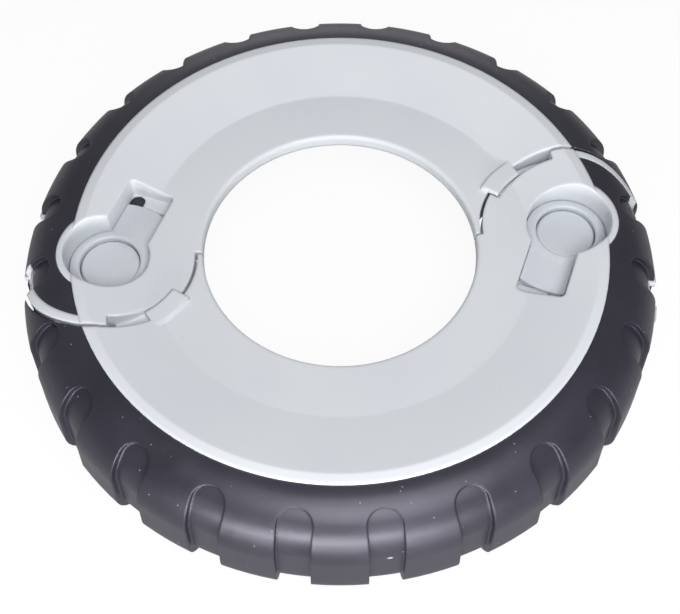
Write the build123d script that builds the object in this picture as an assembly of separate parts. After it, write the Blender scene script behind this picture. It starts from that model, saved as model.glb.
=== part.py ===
from build123d import *
from math import atan, cos, radians, sin, sqrt
import os

os.makedirs("parts", exist_ok=True)

# Split wheel: two equal half rings, each a ribbed shell with rubber moulded over its rim.
# The origin is on the wheel's axis, in the plane of its lower side. Sizes are in mm.

# Wheel
wheel_radius = 127.0
wheel_width = 52.0
bore_radius = 54.1
halves_turn = 4.8

# Face, with widths measured in from the rubber and depths down from the highest ring
bevel_width = 4.0
rim_drop = 0.35
cone_width = 23.95
crease_drop = 7.25
bore_edge_drop = 8.3
bore_lip_drop = 13.7
bore_round = 1.6
wall = 3.1

# Tyre
shoulder_radius = 20.8
shoulder_flat = 1.3
tread_taper = 1.2
foot_radius = 16.0
rubber_step = 0.75
rubber_skin = 7.3
tyre_lip_width = 8.0
tyre_lip_height = 5.0
tyre_lip_top = 7.0
notch_count = 24
notch_width = 12.5
notch_depth = 2.6
notch_arch_angle = 52.5

# Core rim under the rubber
rim_wall = 3.4

# Hinge ends
disc_outer_margin = 2.5
disc_inner_margin = 3.0
disc_gap = 1.2
seam_gap = 0.8
disc_band = 3.3
disc_skirt = 2.8
split_depth = 23.4
layer_gap = 0.4
tongue_reach = 14.3
tongue_gap = 0.8
tongue_clear = 11.9
tongue_plate = 4.0
stripe_height = 2.6
stripe_lip = 0.8
stripe_notches = 3
nose_start = 3.8
nose_tip = 21.7
end_wall = 2.5

# Swing stop
tab_overlap = 3.1
tab_reach = 4.3
tab_from = 124.0
tab_to = 150.6
tab_rise = 1.2
tab_height = 2.3
rebate_gap = 0.85
rebate_travel = 26.5
rebate_backing = 3.4
drain_angle = 4.0

# Pocket, latch plate and button
pocket_radius = 16.2
arm_direction = 69.5
arm_offset = 2.4
arm_width = 18.15
arm_reach = 29.55
pocket_reach = 35.6
pocket_wall = 2.5
pocket_corner = 2.0
fit_gap = 0.15
plate_drop = 11.75
plate_thickness = 3.2
collar_rise = 1.0
collar_radius = 13.6
collar_edge = 0.5
floor_thickness = 3.0
ledge_drop = 1.0
hole_width = 6.2
hole_edge = 0.8
pocket_border = 2.6
button_radius = 11.6
button_gap = 0.3
button_drop = 0.55
button_dish = 0.5
button_round = 0.8
button_skirt = 4.2
button_wall = 1.8
button_cap = 2.8
cup_wall = 2.0
cup_floor = 2.2
sleeve_radius = 9.0
sleeve_wall = 1.8
sleeve_floor = 1.8
fork_gap = 0.3
fork_side_gap = 0.6
stem_radius = 3.3
stem_gap = 0.3
foot_disc_radius = 13.0
foot_thickness = 3.0
foot_gap = 0.3
foot_path_gap = 1.0
spring_wire = 1.2
spring_turns = 4.0
spring_sides = 8
spring_gap = 0.4
screw_radius = 1.5
screw_head_radius = 2.8
screw_head = 1.8
screw_gap = 0.1
foot_screw_length = 11.0
plate_screw_spread = 5.0
plate_screw_reach = 22.0
plate_screw_grip = 2.2

# Ribs under the face
rib_count = 10
rib_width = 2.4
rib_end_angle = 38.0
rib_rise = 8.0
sight_slope = 1.2
web_count = 5

# Heights worked out from the width
crest_z = wheel_width
rim_z = crest_z - rim_drop
crease_z = crest_z - crease_drop
bore_edge_z = crest_z - bore_edge_drop
bore_lip_z = crest_z - bore_lip_drop
split_z = crest_z - split_depth
top_z = split_z + layer_gap
shoulder_z = rim_z - rubber_step - shoulder_radius
tread_radius = wheel_radius - tread_taper
shoulder_r = tread_radius - shoulder_radius
core_radius = tread_radius - rubber_skin
core_shoulder = shoulder_radius - rubber_skin
rim_inner = core_radius - rim_wall
rim_radius = shoulder_r - shoulder_flat
crest_radius = rim_radius - bevel_width
crease_radius = crest_radius - cone_width
disc_radius = (wheel_radius - bore_radius - disc_outer_margin - disc_inner_margin) / 2
pivot_radius = bore_radius + disc_inner_margin + disc_radius
tongue_radius = disc_radius + tongue_reach
tongue_inner_radius = bore_radius + tongue_clear
tab_inner = disc_radius - tab_overlap
tab_outer = disc_radius + tab_reach
fork_z = split_z - tongue_plate
plate_top_z = crest_z - plate_drop
floor_z = plate_top_z - plate_thickness
button_z = plate_top_z - button_drop
cup_z = top_z + cup_floor
sleeve_z = fork_z + sleeve_floor / 3
foot_z = fork_z - foot_gap
big = 4 * wheel_radius

pivot_left = (-pivot_radius * cos(radians(halves_turn)), -pivot_radius * sin(radians(halves_turn)))
pivot_right = (-pivot_left[0], -pivot_left[1])


def around(radius, angle):
    """Point at a radius and an angle in degrees."""
    return (radius * cos(radians(angle)), radius * sin(radians(angle)))


def turned(outline):
    """Solid of revolution about the wheel's axis, from an outline of radius and height."""
    return revolve(Plane.XZ * make_face(outline), Axis.Z)


def slab(plan, low, high):
    """Upright prism on a plan between two heights."""
    return Pos(0, 0, low) * extrude(plan, high - low)


def sector(center, inner, outer, start, end):
    """Plan of a ring's sector about a point, for spans under 180 degrees."""
    middle = (start + end) / 2
    reach = 2 * outer / max(0.1, cos(radians((end - start) / 2)))
    corners = [around(reach, angle) for angle in (start, middle, end)]
    cut = make_face(Polyline((0, 0), *corners, close=True))
    return Pos(*center) * ((Circle(outer) - Circle(inner)) & cut)


def face_line():
    """Visible face from the bore's lip to the edge of the rubber."""
    lip = (bore_radius, bore_lip_z)
    round_low = (bore_radius, bore_edge_z - bore_round)
    round_high = (bore_radius + bore_round, bore_edge_z)
    part = bore_round * (1 - sqrt(0.5))
    round_middle = (bore_radius + part, bore_edge_z - part)
    edge = Line(lip, round_low) + ThreePointArc(round_low, round_middle, round_high)
    edge += Polyline(round_high, (crease_radius, crease_z), (crest_radius, crest_z))
    return edge + Line((crest_radius, crest_z), (rim_radius, rim_z))


def shoulder_arc(radius):
    """Quarter round of the shoulder about its own centre, from its top to its side."""
    top = (shoulder_r, shoulder_z + radius)
    middle = (shoulder_r + radius * sqrt(0.5), shoulder_z + radius * sqrt(0.5))
    return ThreePointArc(top, middle, (shoulder_r + radius, shoulder_z))


def tyre_side(inset):
    """Outside of the tyre, or the same line a little further in for the notches' floor."""
    side_radius = wheel_radius - inset
    low_round = foot_radius - inset
    center_r = wheel_radius - foot_radius
    middle = (center_r + low_round * sqrt(0.5), foot_radius - low_round * sqrt(0.5))
    side = Line((shoulder_r + shoulder_radius - inset, shoulder_z), (side_radius, foot_radius))
    low = ThreePointArc((side_radius, foot_radius), middle, (center_r, inset))
    return shoulder_arc(shoulder_radius - inset) + side + low


def tyre_block(inset):
    """Filled ring between the rubber's edge and its outside."""
    top = shoulder_z + shoulder_radius - inset
    inner = rim_inner - tyre_lip_width
    outline = tyre_side(inset)
    outline += Polyline((wheel_radius - foot_radius, inset), (inner, inset), (inner, shoulder_z))
    outline += Polyline((inner, shoulder_z), (rim_radius, shoulder_z), (rim_radius, top), (shoulder_r, top))
    return turned(outline)


def notch_cutter(angle, width):
    """Straight notch that ends in a round arch on the shoulder."""
    tilt = radians(notch_arch_angle)
    out = (cos(tilt), sin(tilt))
    reach = 2 * shoulder_radius
    start = (shoulder_r + out[0] * 2, shoulder_z + out[1] * 2)
    high = (shoulder_r + out[0] * reach, shoulder_z + out[1] * reach)
    side = shoulder_r + 2 * reach
    low = -foot_radius
    outline = Polyline(start, high, (side, high[1]), (side, low), (start[0], low), close=True)
    straight = extrude(Plane.XZ * make_face(outline), width / 2, both=True)
    arch_plane = Plane(origin=(start[0], 0, start[1]), z_dir=(out[0], 0, out[1]))
    arch = extrude(arch_plane * Circle(width / 2), reach)
    return Rot(0, 0, angle) * (straight + arch)


def notched_tyre():
    """Outside of the whole tyre, with its notches."""
    pitch = 360 / notch_count
    cutters = [notch_cutter(pitch * (place + 0.5), notch_width) for place in range(notch_count)]
    return (tyre_block(0) - cutters) + tyre_block(notch_depth)


def stripe_edge():
    """Outside of the thin lip that stands proud of the tread near the left pivot."""
    pitch = 360 / notch_count
    nearest = 180 + pitch / 2
    width = notch_width - 2 * stripe_lip
    cutters = [notch_cutter(nearest - pitch * place, width) for place in range(stripe_notches)]
    return (tyre_block(-stripe_lip) - cutters) + tyre_block(notch_depth - stripe_lip)


def core_fill():
    """Everything inside the rubber, down to the rim's lower edge."""
    inside = bore_radius / 2
    outline = shoulder_arc(core_shoulder)
    low = tyre_lip_height
    outline += Polyline((core_radius, shoulder_z), (core_radius, low), (rim_inner, low))
    outline += Polyline((rim_inner, tyre_lip_height), (rim_inner, tyre_lip_top), (inside, tyre_lip_top))
    outline += Polyline((inside, tyre_lip_top), (inside, big), (rim_radius, big))
    low_top = shoulder_z + core_shoulder
    outline += Polyline((rim_radius, big), (rim_radius, low_top), (shoulder_r, low_top))
    return turned(outline)


def core_ring():
    """Thin moulded wall of the face, the shoulder and the rim, as a whole ring."""
    slope = atan((crest_z - crease_z) / (crest_radius - crease_radius))
    down = wall / cos(slope)
    low_top = shoulder_z + core_shoulder
    inner_shoulder = core_shoulder - rim_wall
    outline = face_line()
    outline += Polyline((rim_radius, rim_z), (rim_radius, low_top), (shoulder_r, low_top))
    outline += shoulder_arc(core_shoulder)
    low = tyre_lip_height
    outline += Polyline((core_radius, shoulder_z), (core_radius, low), (rim_inner, low))
    outline += Line((rim_inner, low), (shoulder_r + inner_shoulder, shoulder_z))
    outline += shoulder_arc(inner_shoulder)
    inner_top = (rim_radius - wall, shoulder_z + inner_shoulder)
    outline += Polyline((shoulder_r, shoulder_z + inner_shoulder), inner_top)
    crest_low = (rim_radius - wall, crest_z - down - (wall - rim_radius + crest_radius) * sin(slope))
    crease_low = (crease_radius, crease_z - down)
    lip_inner = bore_radius + wall
    outline += Polyline(inner_top, crest_low, crease_low, (lip_inner, bore_edge_z - wall))
    outline += Polyline((lip_inner, bore_edge_z - wall), (lip_inner, bore_lip_z), (bore_radius, bore_lip_z))
    return turned(outline)


def under_face():
    """Room under the face that walls and ribs may fill without showing in the bore."""
    slant_z = rib_rise
    slant_r = bore_radius + wall / 2 + (bore_lip_z - slant_z) / sight_slope
    start = bore_radius + wall / 2
    mid = wall / 2
    outline = Polyline(
        (start, bore_edge_z - mid), (start, bore_lip_z), (slant_r, slant_z), (rim_inner + mid, slant_z),
        (rim_inner + mid, shoulder_z), (shoulder_r, shoulder_z + core_shoulder - mid),
        (rim_radius - mid, shoulder_z + core_shoulder - mid), (rim_radius - mid, rim_z - mid),
        (crest_radius, crest_z - mid), (crease_radius, crease_z - mid), close=True)
    return turned(outline)


def outer_fill():
    """Everything under the outer surface of the ring, notches apart."""
    top = shoulder_z + shoulder_radius
    outline = face_line()
    outline += Polyline((rim_radius, rim_z), (rim_radius, top), (shoulder_r, top))
    outline += tyre_side(0)
    outline += Polyline((wheel_radius - foot_radius, 0), (bore_radius, 0), (bore_radius, bore_lip_z))
    return turned(outline)


def half_plane(gap):
    """Plan of one side of the seam line, set back by a gap."""
    return Rot(0, 0, halves_turn) * Pos(0, big / 2 + gap) * Rectangle(2 * big, big)


def wedge(center, start, end):
    """Plan of a thin wedge from a point."""
    reach = wheel_radius
    return Pos(*center) * make_face(Polyline((0, 0), around(reach, start), around(reach, end), close=True))


def half_plans():
    """Plans of a half's upper and lower layers."""
    outward = 180 + halves_turn
    hollow = Pos(*pivot_right) * Circle(disc_radius + disc_gap)
    nose = wedge(pivot_left, outward - nose_start, outward + nose_start)
    tip = wedge(pivot_right, halves_turn - nose_start, halves_turn + nose_tip)
    disc = Pos(*pivot_left) * Circle(disc_radius)
    upper = half_plane(seam_gap / 2) - nose - tip - hollow + disc
    tongue = Pos(*pivot_right) * Circle(tongue_radius) - Circle(tongue_inner_radius)
    lower = half_plane(seam_gap / 2) - Pos(*pivot_left) * Circle(tongue_radius + tongue_gap) + tongue
    return upper, lower


def half_room():
    """Room that one half takes, in two layers with a gap between them."""
    upper, lower = half_plans()
    room = slab(upper, top_z, crest_z + wall)
    room += slab(lower, -wall, split_z)
    return room + slab(upper & lower, -wall, crest_z + wall)


def pocket_plan(extra):
    """Keyhole outline: round pocket with a straight arm, made larger all round by extra."""
    shift = around(arm_offset, arm_direction - 90)
    reach = pocket_reach + extra
    arm = Pos(reach / 2, 0) * Rectangle(reach, arm_width + 2 * (fit_gap + extra))
    corners = arm.vertices().group_by(Axis.X)[-1]
    arm = fillet(corners, pocket_corner + extra)
    place = Pos(*pivot_left) * Pos(*shift) * Rot(0, 0, arm_direction)
    return Pos(*pivot_left) * Circle(pocket_radius + extra) + place * arm


def arm_place(along, across):
    """Point of the arm, along it from the pivot and across it towards the tyre."""
    shift = around(arm_offset, arm_direction - 90)
    step = around(along, arm_direction)
    side = around(across, arm_direction + 90)
    return (pivot_left[0] + shift[0] + step[0] + side[0], pivot_left[1] + shift[1] + step[1] + side[1])


def ledge_plan():
    """Outline of the ledge past the arm's end."""
    length = pocket_reach - arm_reach
    center = arm_place(arm_reach + length / 2, 0)
    return Pos(*center) * Rot(0, 0, arm_direction) * Rectangle(length, arm_width + 2 * fit_gap)


def fork_slot_plan():
    """Slot of the fork, open along the arc that the other half's sleeve leaves on."""
    span = 2 * pivot_radius
    half = sleeve_radius + fork_side_gap
    lane = Pos(*pivot_left) * (Circle(span + half) - Circle(span - half))
    open_side = Rot(0, 0, halves_turn) * Pos(0, -big / 2) * Rectangle(2 * big, big)
    far_side = Pos(big / 2, 0) * Rectangle(big, big)
    return Pos(*pivot_right) * Circle(sleeve_radius + fork_gap) + (lane & open_side & far_side)


def foot_lane_plan():
    """Lane that the other half's clamp foot leaves on."""
    span = 2 * pivot_radius
    half = foot_disc_radius + foot_path_gap
    lane = Pos(*pivot_left) * (Circle(span + half) - Circle(span - half))
    far_side = Pos(big / 2, 0) * Rectangle(big, big)
    return lane & far_side & (Rot(0, 0, halves_turn) * Pos(0, -big / 2) * Rectangle(2 * big, big))


def grey_lips(tyre_shape):
    """Edges of the core that come up through the rubber: disc band, stripe and pocket border."""
    below = Rot(0, 0, halves_turn) * Pos(0, -big / 2 + seam_gap) * Rectangle(2 * big, big)
    band_plan = (Pos(*pivot_left) * (Circle(disc_radius) - Circle(disc_radius - disc_band))) & below
    band = tyre_shape & slab(band_plan, top_z, crest_z + wall)
    stripe_plan = (Pos(*pivot_left) * Circle(tongue_radius + tongue_gap)) - Circle(rim_inner + rim_wall / 2)
    stripe = stripe_edge() & slab(stripe_plan, top_z, top_z + stripe_height)
    border_plan = Pos(*pivot_left) * Circle(pocket_radius + pocket_border)
    border = tyre_shape & slab(border_plan, shoulder_z, crest_z + wall)
    return [band, stripe, border]


def inner_walls():
    """Skirts, arc walls, ribs and the fork under one half's face."""
    ring = Circle(core_radius) - Circle(bore_radius)
    below = Rot(0, 0, halves_turn) * Pos(0, -big / 2 + seam_gap) * Rectangle(2 * big, big)
    skirt = (Pos(*pivot_left) * (Circle(disc_radius) - Circle(disc_radius - disc_skirt))) & below & ring
    hollow = disc_radius + disc_gap
    concave = Pos(*pivot_right) * (Circle(hollow + end_wall) - Circle(hollow))
    arc_radius = tongue_radius + tongue_gap
    arc = (Pos(*pivot_left) * (Circle(arc_radius + end_wall) - Circle(arc_radius))) & ring
    tongue_end = Pos(*pivot_right) * (Circle(tongue_radius) - Circle(tongue_radius - end_wall))
    tongue_end = (tongue_end & ring) - foot_lane_plan() - Circle(tongue_inner_radius)
    walls = slab(skirt, top_z, crest_z)
    walls += slab(concave & ring & half_plane(seam_gap / 2), fork_z, crest_z)
    walls += slab(arc & half_plane(seam_gap / 2), 0, crest_z)
    walls += slab(tongue_end, 0, split_z)
    for place in range(rib_count):
        step = (180 - 2 * rib_end_angle) / (rib_count - 1)
        angle = halves_turn + rib_end_angle + step * place
        rib = Rot(0, 0, angle) * Pos(wheel_radius / 2, 0) * Rectangle(wheel_radius, rib_width)
        walls += slab(rib, 0, crest_z)
    for place in range(web_count):
        angle = halves_turn - 25 - place * 130 / (web_count - 1)
        web = Rot(0, 0, angle) * Pos(disc_radius / 2, 0) * Rectangle(disc_radius, rib_width)
        web = web & (Circle(disc_radius - disc_skirt / 2) - Circle(pocket_radius))
        walls += slab(Pos(*pivot_left) * web, cup_z, crest_z)
    return walls & under_face()


def fork_plate():
    """Flat tongue under the other half's disc, slotted for its sleeve."""
    ring = Circle(rim_inner + rim_wall / 2) - Circle(tongue_inner_radius)
    plan = (Pos(*pivot_right) * Circle(tongue_radius)) & ring
    return slab(plan - fork_slot_plan(), fork_z, split_z)


def pocket_block():
    """Walls and floor of the pocket, the button's cup and the pivot sleeve."""
    block = slab(pocket_plan(pocket_wall), floor_z - floor_thickness, crest_z)
    cup_radius = button_radius + button_gap
    block += slab(Pos(*pivot_left) * Circle(cup_radius + cup_wall), top_z, floor_z)
    block = block & outer_fill()
    return block + slab(Pos(*pivot_left) * Circle(sleeve_radius), sleeve_z, cup_z)


def pocket_cut():
    """Hollow of the pocket with the cup, the sleeve's bore and the hole past the arm's end."""
    cut = slab(pocket_plan(0), floor_z, crest_z + wall)
    ledge = ledge_plan() - Pos(*pivot_left) * Circle(arm_reach + button_gap)
    cut -= slab(ledge, floor_z, plate_top_z - ledge_drop)
    cut += slab(Pos(*pivot_left) * Circle(button_radius + button_gap), cup_z, floor_z)
    cut += slab(Pos(*pivot_left) * Circle(sleeve_radius - sleeve_wall), sleeve_z + sleeve_floor, cup_z)
    cut += slab(Pos(*pivot_left) * Circle(stem_radius + stem_gap), sleeve_z - wall, cup_z)
    across = arm_width / 2 + fit_gap - hole_width / 2
    hole_end = pocket_reach - hole_edge - hole_width / 2
    length = hole_end - arm_reach
    straight = Rot(0, 0, arm_direction) * Rectangle(length, hole_width)
    cut += slab(Pos(*arm_place(arm_reach + length / 2, across)) * straight, top_z, crest_z)
    cut += slab(Pos(*arm_place(hole_end, across)) * Circle(hole_width / 2), top_z, crest_z)
    for side in (-1, 1):
        spot = arm_place(plate_screw_reach, side * plate_screw_spread)
        cut += slab(Pos(*spot) * Circle(screw_radius + screw_gap), floor_z - 2 * floor_thickness, floor_z)
    return cut


def make_shell(room, tyre_shape, rubber):
    """One half of the grey core."""
    shell = core_ring() & room
    shell += inner_walls() & room
    shell += fork_plate()
    for lip in grey_lips(tyre_shape):
        shell += lip & room
    tab_z = crease_z + tab_rise
    tab = sector(pivot_right, tab_inner, tab_outer, tab_from, tab_to)
    shell += slab(tab, tab_z - tab_height, tab_z)
    rebate_inner = tab_inner - rebate_gap
    start = tab_from - 180 - rebate_travel
    end = tab_to - 180 + 1
    backing = sector(pivot_left, rebate_inner - rebate_backing, disc_radius, start - 3, end + 3)
    shell += slab(backing, plate_top_z, crest_z) & outer_fill()
    shell += pocket_block()
    rebate_z = tab_z - tab_height - layer_gap
    shell -= slab(sector(pivot_left, rebate_inner, tab_outer, start, end), rebate_z, crest_z + wall)
    shell -= slab(sector(pivot_left, rebate_inner, tab_outer, start, start + drain_angle), 0, crest_z + wall)
    return shell - rubber - pocket_cut()


def make_tyre(room, tyre_shape):
    """One half of the rubber, with the lips of the core left free."""
    return ((tyre_shape - core_fill()) & room) - grey_lips(tyre_shape)


def make_latch_plate():
    """Keyhole insert: a collar round the button and an arm to the end slot."""
    shift = around(arm_offset, arm_direction - 90)
    place = Pos(*pivot_left) * Pos(*shift) * Rot(0, 0, arm_direction)
    arm = place * Pos(pocket_reach / 2, 0) * Rectangle(pocket_reach, arm_width)
    arm = arm & (Pos(*pivot_left) * Circle(arm_reach))
    ring_radius = pocket_radius - 2 * fit_gap
    hole = button_radius + button_gap
    plate = slab(arm + Pos(*pivot_left) * Circle(ring_radius), floor_z, plate_top_z)
    low = plate_top_z - floor_z
    high = low + collar_rise
    edge = hole + collar_edge
    outline = Polyline((hole, 0), (ring_radius, 0), (ring_radius, low), (collar_radius, high))
    outline += Polyline((collar_radius, high), (edge, high), (hole, high - collar_edge), (hole, 0))
    collar = revolve(Plane.XZ * make_face(outline), Axis.Z)
    plate = plate + Pos(*pivot_left, floor_z) * collar - slab(Pos(*pivot_left) * Circle(hole), 0, crest_z)
    for side in (-1, 1):
        spot = arm_place(plate_screw_reach, side * plate_screw_spread)
        top = floor_z + plate_screw_grip + screw_gap
        plate -= slab(Pos(*spot) * Circle(screw_radius + screw_gap), 0, top)
    return plate


def make_button():
    """Push button: dished cap with a short skirt and a long stem."""
    rise = button_z - foot_z
    skirt = rise - button_skirt
    cap = rise - button_cap
    inside = button_radius - button_wall
    edge = button_radius - button_round
    dish_radius = (edge ** 2 + button_dish ** 2) / (2 * button_dish)
    dish = (edge / 2, rise - button_dish + dish_radius - sqrt(dish_radius ** 2 - (edge / 2) ** 2))
    pilot = screw_radius + screw_gap / 2
    outline = Polyline((pilot, 0), (stem_radius, 0), (stem_radius, cap), (inside, cap))
    outline += Polyline((inside, cap), (inside, skirt), (button_radius, skirt))
    outline += Polyline((button_radius, skirt), (button_radius, rise - button_round), (edge, rise))
    outline += ThreePointArc((edge, rise), dish, (0, rise - button_dish))
    top = foot_screw_length - foot_thickness + screw_gap
    outline += Polyline((0, rise - button_dish), (0, top), (pilot, top), (pilot, 0))
    return Pos(*pivot_left, foot_z) * revolve(Plane.XZ * make_face(outline), Axis.Z)


def make_spring():
    """Compression spring between the sleeve's floor and the button's cap."""
    low = sleeve_z + sleeve_floor + spring_wire / 2
    high = button_z - button_cap - spring_wire / 2
    radius = sleeve_radius - sleeve_wall - spring_gap - spring_wire / 2
    path = Helix((high - low) / spring_turns, high - low, radius)
    section = Plane(origin=path @ 0, z_dir=path % 0) * RegularPolygon(spring_wire / 2, spring_sides)
    return Pos(*pivot_left, low) * sweep(section, path)


def make_clamp_foot():
    """Round foot under the other half's fork."""
    foot = slab(Circle(foot_disc_radius) - Circle(screw_radius + screw_gap), foot_z - foot_thickness, foot_z)
    rim = foot.edges().filter_by(GeomType.CIRCLE).sort_by(Axis.Z)[0:2].sort_by(SortBy.RADIUS)[-1]
    return Pos(*pivot_left) * chamfer(rim, 0.8)


def make_screw(spot, head_z, length):
    """Pan-head screw that points up, with its head below a surface."""
    screw = slab(Circle(screw_radius), head_z, head_z + length)
    head = slab(Circle(screw_head_radius), head_z - screw_head, head_z)
    head = fillet(head.edges().sort_by(Axis.Z)[0], screw_head / 2)
    drive = slab(Rectangle(0.8, 3.2) + Rectangle(3.2, 0.8), head_z - screw_head - 1, head_z - screw_head / 2)
    return Pos(*spot) * (screw + head - drive)


def make_plate_screws():
    """Two screws that hold the insert from below."""
    low = floor_z - floor_thickness
    length = floor_thickness + plate_screw_grip
    spots = [arm_place(plate_screw_reach, side * plate_screw_spread) for side in (-1, 1)]
    return Compound(children=[make_screw(spot, low, length) for spot in spots])


def write(shape, name):
    """Write one named piece."""
    export_step(shape, f"parts/{name}.step")


half = half_room()
tyre = notched_tyre()
rubber_half = make_tyre(half, tyre)
pieces = {
    "shell": make_shell(half, tyre, rubber_half),
    "tyre": rubber_half,
    "latch_plate": make_latch_plate(),
    "button": make_button(),
    "spring": make_spring(),
    "clamp_foot": make_clamp_foot(),
    "foot_screw": make_screw(pivot_left, foot_z - foot_thickness, foot_screw_length),
    "plate_screws": make_plate_screws(),
}
half_names = {"shell": ("upper", "lower"), "tyre": ("upper", "lower")}
for kind, piece in pieces.items():
    first, second = half_names.get(kind, ("left", "right"))
    write(piece, f"{first}_{kind}")
    write(Rot(0, 0, 180) * piece, f"{second}_{kind}")
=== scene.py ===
# %% [markdown]
# # A split wheel with rubber moulded over its rim
# The wheel is two equal half rings of grey plastic. Each carries its own piece of dark rubber
# tyre, and the halves meet at two round hinge discs with a push button in each.
# The frame holds every piece at its real size and place, so this script only finishes them.

from math import cos, radians, sin

import bmesh
import bpy
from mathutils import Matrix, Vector


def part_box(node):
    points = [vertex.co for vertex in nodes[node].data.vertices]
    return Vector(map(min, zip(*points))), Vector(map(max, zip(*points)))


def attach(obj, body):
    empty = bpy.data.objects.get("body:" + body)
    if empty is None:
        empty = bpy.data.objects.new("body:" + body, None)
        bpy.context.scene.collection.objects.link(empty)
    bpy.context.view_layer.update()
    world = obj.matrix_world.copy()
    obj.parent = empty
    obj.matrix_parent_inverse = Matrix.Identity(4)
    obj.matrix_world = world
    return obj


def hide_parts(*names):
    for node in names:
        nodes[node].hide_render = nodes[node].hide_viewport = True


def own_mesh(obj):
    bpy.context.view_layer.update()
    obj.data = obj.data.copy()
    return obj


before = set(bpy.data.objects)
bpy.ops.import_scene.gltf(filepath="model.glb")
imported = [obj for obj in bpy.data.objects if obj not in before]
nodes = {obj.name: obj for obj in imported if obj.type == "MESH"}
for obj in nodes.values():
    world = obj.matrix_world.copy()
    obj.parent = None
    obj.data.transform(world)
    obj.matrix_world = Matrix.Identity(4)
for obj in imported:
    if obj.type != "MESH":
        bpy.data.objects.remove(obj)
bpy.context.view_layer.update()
print("nodes", sorted(nodes))

# %% [markdown]
# The camera stands where the photograph was taken from: in front of the wheel, 59 degrees above
# its plane, and near enough for the front of the ring to look larger than the back.

# %% Camera
MM = 0.001
CAMERA_BACK = 229.2 * MM
CAMERA_HEIGHT = 377.9 * MM
CAMERA_TILT = 30.87
CAMERA_LENS = 54.3
CAMERA_SENSOR = 36.0
CAMERA_NEAREST = 10 * MM

camera_data = bpy.data.cameras.new("camera")
camera_data.lens = CAMERA_LENS
camera_data.sensor_width = CAMERA_SENSOR
camera_data.sensor_fit = "HORIZONTAL"
camera_data.clip_start = CAMERA_NEAREST
camera = bpy.data.objects.new("camera", camera_data)
camera.location = (0.0, -CAMERA_BACK, CAMERA_HEIGHT)
camera.rotation_euler = (radians(CAMERA_TILT), 0.0, 0.0)
bpy.context.scene.collection.objects.link(camera)
bpy.context.scene.camera = camera
print("camera", tuple(camera.location), "lens", CAMERA_LENS)

# %% [markdown]
# Every material needs a few small helpers. Colours are picked from a screen as sRGB hex, but
# shaders work in linear light, so one function turns the one into the other. Another adds a node
# and joins it up: an input is named by its own name, or by i and its number where several inputs
# of a node share a name. In a Mix node i2 and i3 are the two numbers, i6 and i7 the two colours.
# Patterns are sized in millimetres on the piece itself, so they stay put when a half swings.

# %% Helpers for materials
MULTIPLY = {"operation": "MULTIPLY"}
COLOURS = {"data_type": "RGBA"}


def linear(code):
    """Linear colour with alpha from an sRGB hex code."""
    channels = [int(code[place:place + 2], 16) / 255 for place in (1, 3, 5)]
    return [c / 12.92 if c <= 0.04045 else ((c + 0.055) / 1.055) ** 2.4 for c in channels] + [1.0]


def add(tree, kind, settings=None, **links):
    """Add a node. Settings name its properties; links give values or sockets for its inputs."""
    node = tree.nodes.new(kind)
    for name, value in (settings or {}).items():
        setattr(node, name, value)
    for name, value in links.items():
        key = int(name[1:]) if name[1:].isdigit() and name[0] == "i" else name.replace("_", " ")
        if isinstance(value, bpy.types.NodeSocket):
            tree.links.new(value, node.inputs[key])
        else:
            node.inputs[key].default_value = value
    return node


def new_material(name):
    """Empty material with a Principled shader, and its pattern coordinates in millimetres."""
    material = bpy.data.materials.new(name)
    material.use_nodes = True
    tree = material.node_tree
    shader = tree.nodes["Principled BSDF"]
    place = add(tree, "ShaderNodeTexCoord")
    scaled = add(tree, "ShaderNodeMapping", Vector=place.outputs["Object"], Scale=(1 / MM, 1 / MM, 1 / MM))
    print("material", name)
    return material, tree, shader, scaled.outputs["Vector"]


# %% [markdown]
# A moulding has no knife edges. Rounding every edge of the long curved pieces as geometry would
# add many faces, so a Bevel node bends the shading normal round each corner instead, and the
# fine relief of the surface comes on top of that.

# %% Soft corners with a fine relief
CORNER_SAMPLES = 8


def soft_relief(tree, shader, height, strength, depth, corner):
    """Fine relief on a surface whose corners are shaded round within a radius."""
    rounded = add(tree, "ShaderNodeBevel", {"samples": CORNER_SAMPLES}, Radius=corner)
    bump = add(tree, "ShaderNodeBump", Strength=strength, Distance=depth, Height=height,
               Normal=rounded.outputs["Normal"])
    tree.links.new(bump.outputs["Normal"], shader.inputs["Normal"])


# %% [markdown]
# A few hair scratches cross the plastic. They could be drawn one by one, but a noise that is
# stretched along one direction gives long thin lines by itself. A second, slow noise keeps them
# to a few patches, as handling would.

# %% Hair scratches
HAIRS_PER_MM = 2.4
HAIR_TURN_RADIANS = 0.6
HAIR_STRETCH = (1.0, 0.06, 1.0)
HAIR_DETAIL = 3.0
HAIR_RANGE = (0.66, 0.70)
PATCH_MM = 9.0
PATCH_DETAIL = 1.0
PATCH_RANGE = (0.60, 0.72)


def hair_scratches(tree, at):
    """Strength of long thin scratches that come in patches."""
    along = add(tree, "ShaderNodeMapping", Vector=at, Rotation=(0.0, 0.0, HAIR_TURN_RADIANS),
                Scale=HAIR_STRETCH)
    hair = add(tree, "ShaderNodeTexNoise", Vector=along.outputs["Vector"], Scale=HAIRS_PER_MM,
               Detail=HAIR_DETAIL)
    line = add(tree, "ShaderNodeMapRange", Value=hair.outputs["Fac"], From_Min=HAIR_RANGE[0],
               From_Max=HAIR_RANGE[1])
    area = add(tree, "ShaderNodeTexNoise", Vector=at, Scale=1 / PATCH_MM, Detail=PATCH_DETAIL)
    patch = add(tree, "ShaderNodeMapRange", Value=area.outputs["Fac"], From_Min=PATCH_RANGE[0],
                From_Max=PATCH_RANGE[1])
    both = add(tree, "ShaderNodeMath", MULTIPLY, i0=line.outputs["Result"], i1=patch.outputs["Result"])
    return both.outputs[0]


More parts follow.
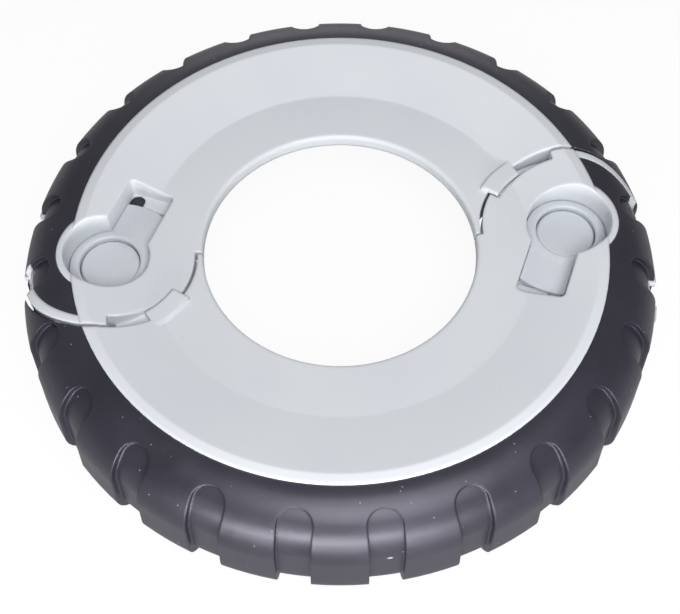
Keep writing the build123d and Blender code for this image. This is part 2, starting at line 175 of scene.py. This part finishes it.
# %% [markdown]
# The core is injection-moulded ABS in a cool light grey. Moulded ABS has a fine spark-eroded
# grain that breaks up highlights, and slow changes of tone where the melt cooled unevenly. The
# true grain is about 0.1 mm, too fine for the picture, so it is drawn at 0.7 mm and kept very
# shallow. The inserts and buttons are the same plastic with a slightly smoother face.

# %% Moulded grey plastic
GRAIN_MM = 0.7
GRAIN_DETAIL = 3.0
GRAIN_DEPTH = 0.02 * MM
GRAIN_STRENGTH = 0.25
GRAIN_ROUGHNESS = 0.05
TONE_MM = 45.0
TONE_DETAIL = 2.0
TONE_RANGE = (0.3, 0.7)
SCRATCH_COLOUR = "#A9ADB3"
SCRATCH_SHARE = 0.35
SCRATCH_ROUGHNESS = 0.2
ABS_IOR = 1.53
CORE_ROUGHNESS = 0.46
CORE_CORNER = 1.6 * MM
INSERT_ROUGHNESS = 0.38
INSERT_CORNER = 0.4 * MM


def moulded_plastic(name, light, dark, roughness, corner):
    """Satin ABS with fine grain, slow tone changes and hair scratches."""
    material, tree, shader, at = new_material(name)
    slow = add(tree, "ShaderNodeTexNoise", Vector=at, Scale=1 / TONE_MM, Detail=TONE_DETAIL)
    tone = add(tree, "ShaderNodeMapRange", Value=slow.outputs["Fac"], From_Min=TONE_RANGE[0],
               From_Max=TONE_RANGE[1])
    body = add(tree, "ShaderNodeMix", COLOURS, i0=tone.outputs["Result"], i6=linear(light), i7=linear(dark))
    scratch = hair_scratches(tree, at)
    faint = add(tree, "ShaderNodeMath", MULTIPLY, i0=scratch, i1=SCRATCH_SHARE)
    colour = add(tree, "ShaderNodeMix", COLOURS, i0=faint.outputs[0], i6=body.outputs[2],
                 i7=linear(SCRATCH_COLOUR))
    tree.links.new(colour.outputs[2], shader.inputs["Base Color"])
    grain = add(tree, "ShaderNodeTexNoise", Vector=at, Scale=1 / GRAIN_MM,
                Detail=GRAIN_DETAIL).outputs["Fac"]
    rough = add(tree, "ShaderNodeMix", i0=grain, i2=roughness - GRAIN_ROUGHNESS,
                i3=roughness + GRAIN_ROUGHNESS)
    rougher = add(tree, "ShaderNodeMix", i0=scratch, i2=rough.outputs[0], i3=roughness + SCRATCH_ROUGHNESS)
    tree.links.new(rougher.outputs[0], shader.inputs["Roughness"])
    soft_relief(tree, shader, grain, GRAIN_STRENGTH, GRAIN_DEPTH, corner)
    shader.inputs["IOR"].default_value = ABS_IOR
    return material


core_plastic = moulded_plastic("abs_core_grey", "#CCD0D4", "#C8CBD1", CORE_ROUGHNESS, CORE_CORNER)
insert_plastic = moulded_plastic("abs_insert_grey", "#C9CCD3", "#C4C8CF", INSERT_ROUGHNESS, INSERT_CORNER)

# %% [markdown]
# Rubber picks up lint and dust, which show as small pale specks. Each speck sits on the point
# that a Voronoi cell grows from, and only some of the cells have one. The marks are those of the
# photograph: one pale blemish in a notch and three dark smears near the rim. A mark is a
# stretched ball with a ragged edge, so it wraps round the surface that it meets.

# %% Dust and marks
SPECK_MM = 3.6
SPECK_RADIUS = 0.075
SPECK_CORE = 0.6
SPECK_PICK = (0.60, 0.61)
MARK_RAGS_PER_MM = 0.9
MARK_DETAIL = 4.0
MARK_EDGE = (1.5, 1.1)


def dust(tree, at):
    """Strength of small specks. The radius of a speck is a share of its cell."""
    cells = add(tree, "ShaderNodeTexVoronoi", Vector=at, Scale=1 / SPECK_MM)
    near = add(tree, "ShaderNodeMapRange", Value=cells.outputs["Distance"], From_Min=SPECK_RADIUS,
               From_Max=SPECK_RADIUS * SPECK_CORE)
    parts = add(tree, "ShaderNodeSeparateColor", Color=cells.outputs["Color"])
    chosen = add(tree, "ShaderNodeMapRange", Value=parts.outputs["Red"], From_Min=SPECK_PICK[0],
                 From_Max=SPECK_PICK[1])
    both = add(tree, "ShaderNodeMath", MULTIPLY, i0=near.outputs["Result"], i1=chosen.outputs["Result"])
    return both.outputs[0]


def mark(tree, at, spot, reach, share):
    """Strength of a ragged mark on the surface round a spot, sizes in millimetres."""
    moved = add(tree, "ShaderNodeVectorMath", {"operation": "SUBTRACT"}, i0=at, i1=spot)
    scaled = add(tree, "ShaderNodeVectorMath", {"operation": "DIVIDE"}, i0=moved.outputs[0], i1=reach)
    away = add(tree, "ShaderNodeVectorMath", {"operation": "LENGTH"}, i0=scaled.outputs[0])
    rag = add(tree, "ShaderNodeTexNoise", Vector=at, Scale=MARK_RAGS_PER_MM, Detail=MARK_DETAIL)
    ragged = add(tree, "ShaderNodeMath", {"operation": "ADD"}, i0=away.outputs["Value"],
                 i1=rag.outputs["Fac"])
    inside = add(tree, "ShaderNodeMapRange", Value=ragged.outputs[0], From_Min=MARK_EDGE[0],
                 From_Max=MARK_EDGE[1])
    return add(tree, "ShaderNodeMath", MULTIPLY, i0=inside.outputs["Result"], i1=share).outputs[0]


# %% [markdown]
# The tyre is thermoplastic rubber moulded over the core. It is a bluish charcoal with a satin
# skin, a little duller in some places than in others. Its tint is in the reflection too, because
# the pale bands along the tyre look faintly blue in the photograph.

# %% Moulded rubber
RUBBER_DARK = "#1B1A23"
RUBBER_LIGHT = "#22212B"
RUBBER_TONE_MM = 22.0
RUBBER_TONE_DETAIL = 4.0
RUBBER_TONE_RANGE = (0.35, 0.65)
RUBBER_ROUGHNESS = (0.33, 0.50)
RUBBER_CORNER = 1.2 * MM
RUBBER_IOR = 1.50
RUBBER_SHINE = 0.66
RUBBER_TINT = "#F1EFFF"
SKIN_MM = 1.1
SKIN_DETAIL = 4.0
SKIN_DEPTH = 0.03 * MM
SKIN_STRENGTH = 0.3
SPECK_COLOUR = "#B9BBC0"
SPECK_SHARE = 0.55
# A mark's spot and reach in millimetres, its colour and its share
RUBBER_MARKS = [((17.2, -123.4, 30.0), (1.8, 2.5, 1.0), "#A8A8B2", 0.8),
                ((-57.9, -93.6, 47.0), (9.0, 5.0, 6.0), "#101015", 0.7),
                ((-50.5, -101.0, 45.0), (6.0, 5.0, 6.0), "#101015", 0.55),
                ((47.0, -97.5, 47.5), (5.0, 3.0, 4.0), "#121217", 0.6)]


def moulded_rubber(name):
    """Satin charcoal rubber with dust specks, smears and a blemish."""
    material, tree, shader, at = new_material(name)
    slow = add(tree, "ShaderNodeTexNoise", Vector=at, Scale=1 / RUBBER_TONE_MM,
               Detail=RUBBER_TONE_DETAIL).outputs["Fac"]
    tone = add(tree, "ShaderNodeMapRange", Value=slow, From_Min=RUBBER_TONE_RANGE[0],
               From_Max=RUBBER_TONE_RANGE[1])
    body = add(tree, "ShaderNodeMix", COLOURS, i0=tone.outputs["Result"], i6=linear(RUBBER_DARK),
               i7=linear(RUBBER_LIGHT))
    faint = add(tree, "ShaderNodeMath", MULTIPLY, i0=dust(tree, at), i1=SPECK_SHARE)
    colour = add(tree, "ShaderNodeMix", COLOURS, i0=faint.outputs[0], i6=body.outputs[2],
                 i7=linear(SPECK_COLOUR))
    for spot, reach, code, share in RUBBER_MARKS:
        colour = add(tree, "ShaderNodeMix", COLOURS, i0=mark(tree, at, spot, reach, share),
                     i6=colour.outputs[2], i7=linear(code))
    tree.links.new(colour.outputs[2], shader.inputs["Base Color"])
    rough = add(tree, "ShaderNodeMix", i0=slow, i2=RUBBER_ROUGHNESS[0], i3=RUBBER_ROUGHNESS[1])
    tree.links.new(rough.outputs[0], shader.inputs["Roughness"])
    skin = add(tree, "ShaderNodeTexNoise", Vector=at, Scale=1 / SKIN_MM, Detail=SKIN_DETAIL)
    soft_relief(tree, shader, skin.outputs["Fac"], SKIN_STRENGTH, SKIN_DEPTH, RUBBER_CORNER)
    shader.inputs["IOR"].default_value = RUBBER_IOR
    shader.inputs["Specular IOR Level"].default_value = RUBBER_SHINE
    shader.inputs["Specular Tint"].default_value = linear(RUBBER_TINT)
    return material


tyre_rubber = moulded_rubber("tpe_rubber_charcoal")

# %% [markdown]
# The springs and screws are zinc-plated steel. Plating is bright, but never quite even, so a
# fine noise gives it a faint cloudiness in both tone and polish.

# %% Plated steel
CLOUD_MM = 1.25
CLOUD_DETAIL = 3.0
STEEL_DARK = "#B9BCC0"
STEEL_LIGHT = "#CDD0D3"
STEEL_ROUGHNESS = (0.22, 0.38)


def plated_steel(name):
    """Bright zinc plating with a cloudy polish."""
    material, tree, shader, at = new_material(name)
    cloud = add(tree, "ShaderNodeTexNoise", Vector=at, Scale=1 / CLOUD_MM,
                Detail=CLOUD_DETAIL).outputs["Fac"]
    tone = add(tree, "ShaderNodeMix", COLOURS, i0=cloud, i6=linear(STEEL_DARK), i7=linear(STEEL_LIGHT))
    tree.links.new(tone.outputs[2], shader.inputs["Base Color"])
    rough = add(tree, "ShaderNodeMix", i0=cloud, i2=STEEL_ROUGHNESS[0], i3=STEEL_ROUGHNESS[1])
    tree.links.new(rough.outputs[0], shader.inputs["Roughness"])
    shader.inputs["Metallic"].default_value = 1.0
    return material


steel = plated_steel("zinc_plated_steel")

# %% [markdown]
# The frame's solids are true in shape, but they come as loose flat triangles whose imported
# normals blur the crease of the face. A CAD mesh is left alone, so the work is done on a copy:
# its triangles are joined and the imported normals go. A modifier then works on the copy through
# an object that holds it for a moment, and the result is turned into a plain mesh.

# %% Copies of the frame's meshes
MERGE = 0.002 * MM


def joined_mesh(node, flat_angle=None):
    """Mesh of a node with its triangles joined, and flat areas made whole up to an angle."""
    work = bmesh.new()
    work.from_mesh(nodes[node].data)
    bmesh.ops.remove_doubles(work, verts=work.verts, dist=MERGE)
    if flat_angle is not None:
        bmesh.ops.dissolve_limit(work, angle_limit=flat_angle, verts=work.verts, edges=work.edges)
    mesh = bpy.data.meshes.new(node + "_joined")
    work.to_mesh(mesh)
    work.free()
    if "custom_normal" in mesh.attributes:
        mesh.attributes.remove(mesh.attributes["custom_normal"])
    return mesh


def holder_of(mesh):
    """Object that carries a mesh while a modifier works on it."""
    holder = bpy.data.objects.new(mesh.name, mesh)
    bpy.context.scene.collection.objects.link(holder)
    return holder


def converted(holder):
    """Plain mesh of an object with its modifiers worked out. The object itself goes."""
    bpy.context.view_layer.update()
    graph = bpy.context.evaluated_depsgraph_get()
    mesh = bpy.data.meshes.new_from_object(holder.evaluated_get(graph))
    bpy.data.objects.remove(holder)
    return mesh


def smooth(mesh, turn):
    """Smooth shading, apart from edges that turn by more than an angle in degrees."""
    mesh.shade_smooth()
    mesh.set_sharp_from_angle(angle=radians(turn))


def place_piece(name, mesh, node, body, material):
    """Put a finished mesh in the scene for a node."""
    mesh.name = name
    mesh.materials.clear()
    mesh.materials.append(material)
    piece = bpy.data.objects.new(name, mesh)
    bpy.context.scene.collection.objects.link(piece)
    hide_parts(node)
    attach(piece, body)
    print(name, len(mesh.polygons), "faces")
    return piece


# %% [markdown]
# The two cores and the two tyres have long curved faces beside real corners. Smooth shading
# alone would smear the corners, and flat shading would show every facet. So the surface is
# smooth, split where it turns by more than a set angle, and its normals are led by the largest
# faces. The angle is small on the core, because its face bends by only 14 degrees.

# %% Smooth copies of the cores and tyres
CORE_TURN = 11.0
TYRE_TURN = 24.0
NORMAL_WEIGHT = 80


def smooth_copy(name, node, body, material, turn):
    """Joined copy of a moulding, with normals led by its largest faces."""
    joined = joined_mesh(node)
    smooth(joined, turn)
    holder = holder_of(joined)
    weighted = holder.modifiers.new("normals", "WEIGHTED_NORMAL")
    weighted.keep_sharp = True
    weighted.weight = NORMAL_WEIGHT
    place_piece(name, converted(holder), node, body, material)


for end in ("upper", "lower"):
    half = f"{end}_half"
    smooth_copy(f"{end}_core", f"{end}_shell", half, core_plastic, CORE_TURN)
    smooth_copy(f"{end}_rubber", f"{end}_tyre", half, tyre_rubber, TYRE_TURN)

# %% [markdown]
# The insert and the button are small and simple, so their corners are rounded as geometry.
# Flat areas are made whole first, because a Bevel modifier needs clean corners to work on.

# %% Rounded copies of the inserts and buttons
FLAT_ANGLE = radians(0.6)
CORNER_TURN = 24.0
CORNER_SEGMENTS = 3
INSERT_ROUND = 0.35 * MM
BUTTON_ROUND = 0.30 * MM


def rounded_copy(name, node, body, material, width):
    """Copy of a small moulding with its corners rounded by a Bevel modifier."""
    holder = holder_of(joined_mesh(node, FLAT_ANGLE))
    bevel = holder.modifiers.new("corners", "BEVEL")
    bevel.width = width
    bevel.segments = CORNER_SEGMENTS
    bevel.limit_method = "ANGLE"
    bevel.angle_limit = radians(CORNER_TURN)
    mesh = converted(holder)
    smooth(mesh, CORNER_TURN)
    place_piece(name, mesh, node, body, material)


for end, half in (("left", "upper_half"), ("right", "lower_half")):
    rounded_copy(f"{end}_insert", f"{end}_latch_plate", half, insert_plastic, INSERT_ROUND)
    rounded_copy(f"{end}_push_cap", f"{end}_button", f"{end}_push", insert_plastic, BUTTON_ROUND)

# %% [markdown]
# Each button stands on a compression spring: wire wound round a mandrel at an even pitch. That is
# one rule, so Geometry Nodes draws it: a Spiral curve gives the path and Curve to Mesh carries a
# round wire along it. Its width and height come from the box of the frame's own spring.

# %% Wound wire
PATH_POINTS = 24
WIRE_SIDES = 12


def spring_tree():
    """Geometry node tree that winds a round wire into a helix."""
    tree = bpy.data.node_groups.new("coil_spring", "GeometryNodeTree")
    tree.interface.new_socket("Geometry", in_out="OUTPUT", socket_type="NodeSocketGeometry")
    for name in ("Coil Radius", "Height", "Turns", "Wire Radius"):
        tree.interface.new_socket(name, in_out="INPUT", socket_type="NodeSocketFloat")
    tree.interface.new_socket("Material", in_out="INPUT", socket_type="NodeSocketMaterial")
    given = add(tree, "NodeGroupInput").outputs
    path = add(tree, "GeometryNodeCurveSpiral", Resolution=PATH_POINTS, Rotations=given["Turns"],
               Start_Radius=given["Coil Radius"], End_Radius=given["Coil Radius"], Height=given["Height"])
    section = add(tree, "GeometryNodeCurvePrimitiveCircle", Resolution=WIRE_SIDES,
                  Radius=given["Wire Radius"])
    wire = add(tree, "GeometryNodeCurveToMesh", Curve=path.outputs["Curve"],
               Profile_Curve=section.outputs["Curve"], Fill_Caps=True)
    whole = add(tree, "GeometryNodeRealizeInstances", Geometry=wire.outputs["Mesh"])
    coated = add(tree, "GeometryNodeSetMaterial", Geometry=whole.outputs["Geometry"],
                 Material=given["Material"])
    add(tree, "NodeGroupOutput", Geometry=coated.outputs["Geometry"])
    print("tree", tree.name, len(tree.nodes), "nodes")
    return tree


coil = spring_tree()

# %% [markdown]
# A real spring gets shorter as its button goes down, but the frame moves a piece only as a whole.

# %% Springs
SPRING_TURNS = 4.0
WIRE_RADIUS = 0.6 * MM


def wound_spring(name, node, body, tree):
    """Spring as a plain mesh in the place of the frame's spring."""
    low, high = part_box(node)
    length = high[2] - low[2]
    sizes = {"Coil Radius": (high[0] - low[0]) / 2 - WIRE_RADIUS, "Height": length - 2 * WIRE_RADIUS,
             "Turns": SPRING_TURNS, "Wire Radius": WIRE_RADIUS, "Material": steel}
    holder = holder_of(bpy.data.meshes.new(name + "_tree"))
    modifier = holder.modifiers.new("coil", "NODES")
    modifier.node_group = tree
    for item in tree.interface.items_tree:
        if item.in_out == "INPUT":
            modifier[item.identifier] = sizes[item.name]
    mesh = converted(holder)
    center = Vector(((low[0] + high[0]) / 2, (low[1] + high[1]) / 2, low[2] + WIRE_RADIUS))
    for vertex in mesh.vertices:
        vertex.co += center
    mesh.shade_smooth()
    piece = place_piece(name, mesh, node, body, steel)
    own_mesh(piece)


wound_spring("left_coil", "left_spring", "upper_half", coil)
wound_spring("right_coil", "right_spring", "lower_half", coil)

# %% [markdown]
# The slot past the left insert's arm looks dark in the photograph, while in the frame light comes
# up through it. A thin dark plate a little below the slot's edge gives the photograph's tone as
# painted shade. It stands for no piece of the real wheel.

# %% Shade in the left slot
SLOT_ANGLE = radians(69.5)
SLOT_END = Vector((-82.87, 23.40, 38.6)) * MM
SLOT_HALF_WIDTH = 3.05 * MM
SLOT_STRAIGHT = 2.1 * MM
SLOT_PLATE = 0.6 * MM
SLOT_SIDES = 24


def slot_shade(name, material):
    """Flat plate with one round end that fills the slot below its edge as painted shade."""
    top = []
    for place in range(SLOT_SIDES + 1):
        angle = SLOT_ANGLE - radians(90) + radians(180) * place / SLOT_SIDES
        top.append(SLOT_END + Vector((cos(angle), sin(angle), 0)) * SLOT_HALF_WIDTH)
    along = Vector((cos(SLOT_ANGLE), sin(SLOT_ANGLE), 0)) * SLOT_STRAIGHT
    top += [top[-1] - along, top[0] - along]
    count = len(top)
    bottom = [point - Vector((0, 0, SLOT_PLATE)) for point in top]
    caps = [list(range(count)), list(reversed(range(count, 2 * count)))]
    sides = [(place - 1, place - 1 + count, place + count, place) for place in range(1, count)]
    closing = (count - 1, 2 * count - 1, count, 0)
    mesh = bpy.data.meshes.new(name)
    mesh.from_pydata(top + bottom, [], caps + sides + [closing])
    mesh.materials.append(material)
    piece = bpy.data.objects.new(name, mesh)
    bpy.context.scene.collection.objects.link(piece)
    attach(piece, "upper_half")
    print(name, len(mesh.polygons), "faces")


# The plate is painted shade, in the dark rubber's finish.
slot_shade("left_slot_shade", tyre_rubber)

# %% [markdown]
# A clamp foot hangs under each button, and screws hold it and the insert. They show very little,
# and their shape in the frame is right, so they keep the frame's own solids and only get their
# finish.

# %% Feet and screws
for node, finish in (("clamp_foot", core_plastic), ("foot_screw", steel), ("plate_screws", steel)):
    for end in ("left", "right"):
        mesh = nodes[f"{end}_{node}"].data
        mesh.materials.clear()
        mesh.materials.append(finish)
        print(f"{end}_{node}", finish.name)

# %% [markdown]
# The wheel lies on a plain white floor. More light would turn the floor white but burn out the
# grey plastic. So to the camera the floor is mostly an even white glow, mixed with a small share
# of a plain diffuse surface that keeps the soft shadow. Reflections see a darker glow, or the
# rubber would look washed out near the ground.

# %% Floor
FLOOR_HALF = 12.0
FLOOR_GLOW = 0.93
FLOOR_MIRRORED = 0.6
FLOOR_COLOUR = "#F4F4F4"
WHITE = (1.0, 1.0, 1.0, 1.0)


def make_floor():
    """White floor that stays white in the picture and still takes a shadow."""
    mesh = bpy.data.meshes.new("floor")
    corners = [(-FLOOR_HALF, -FLOOR_HALF, 0), (FLOOR_HALF, -FLOOR_HALF, 0), (FLOOR_HALF, FLOOR_HALF, 0),
               (-FLOOR_HALF, FLOOR_HALF, 0)]
    mesh.from_pydata(corners, [], [(0, 1, 2, 3)])
    material = bpy.data.materials.new("white_floor")
    material.use_nodes = True
    tree = material.node_tree
    tree.nodes.clear()
    path = add(tree, "ShaderNodeLightPath").outputs
    seen = add(tree, "ShaderNodeMath", {"operation": "MAXIMUM"}, i0=path["Is Camera Ray"],
               i1=path["Is Glossy Ray"])
    share = add(tree, "ShaderNodeMath", MULTIPLY, i0=seen.outputs[0], i1=FLOOR_GLOW)
    level = add(tree, "ShaderNodeMix", i0=path["Is Camera Ray"], i2=FLOOR_MIRRORED, i3=1.0)
    matt = add(tree, "ShaderNodeBsdfDiffuse", Color=linear(FLOOR_COLOUR))
    glow = add(tree, "ShaderNodeEmission", Color=WHITE, Strength=level.outputs[0])
    both = add(tree, "ShaderNodeMixShader", i0=share.outputs[0], i1=matt.outputs[0], i2=glow.outputs[0])
    add(tree, "ShaderNodeOutputMaterial", Surface=both.outputs[0])
    mesh.materials.append(material)
    floor = bpy.data.objects.new("floor", mesh)
    bpy.context.scene.collection.objects.link(floor)
    print("floor", 2 * FLOOR_HALF, "m wide")


make_floor()

# %% [markdown]
# Three soft boxes light the wheel. The key box is near and high in front, so the front of the ring
# is lighter than the back, as in the photograph. A low, wide box in front draws the satin band
# along the tyre's near shoulder, and a weak one behind gives the far rubber its sheen.

# %% Soft boxes
# A box's name, its place and its aim in metres, its width and height in metres, its power in watts
SOFT_BOXES = [("key_box", (0.06, -0.30, 0.50), (0, 0, 0.02), 0.35, 0.35, 3.0),
              ("front_box", (-0.02, -0.70, 0.10), (0, -0.1, 0.03), 0.8, 0.17, 7.2),
              ("back_box", (0.0, 0.9, 0.35), (0, 0.1, 0.03), 0.7, 0.5, 1.5)]


def area_light(name, place, aim, width, height, power):
    """Soft box at a place, turned to a point."""
    data = bpy.data.lights.new(name, "AREA")
    data.shape = "RECTANGLE"
    data.size = width
    data.size_y = height
    data.energy = power
    lamp = bpy.data.objects.new(name, data)
    lamp.location = place
    lamp.rotation_euler = (Vector(aim) - Vector(place)).to_track_quat("-Z", "Y").to_euler()
    bpy.context.scene.collection.objects.link(lamp)
    print(name, power, "W")


for box in SOFT_BOXES:
    area_light(*box)

# %% [markdown]
# The world stands for the white room. It fills the shadows with a weak light, shows dimly in
# reflections, and is plain white to the camera.

# %% World
WORLD_LIGHT = 0.21
WORLD_MIRRORED = 0.36


def studio_world():
    """White world that lights weakly and reflects dimly."""
    world = bpy.data.worlds.new("studio")
    world.use_nodes = True
    tree = world.node_tree
    tree.nodes.clear()
    path = add(tree, "ShaderNodeLightPath").outputs
    lit = add(tree, "ShaderNodeMix", i0=path["Is Glossy Ray"], i2=WORLD_LIGHT, i3=WORLD_MIRRORED)
    level = add(tree, "ShaderNodeMix", i0=path["Is Camera Ray"], i2=lit.outputs[0], i3=1.0)
    sky = add(tree, "ShaderNodeBackground", Color=WHITE, Strength=level.outputs[0])
    add(tree, "ShaderNodeOutputWorld", Surface=sky.outputs[0])
    bpy.context.scene.world = world
    print("world", world.name)


studio_world()
bpy.context.scene.view_settings.view_transform = "Standard"
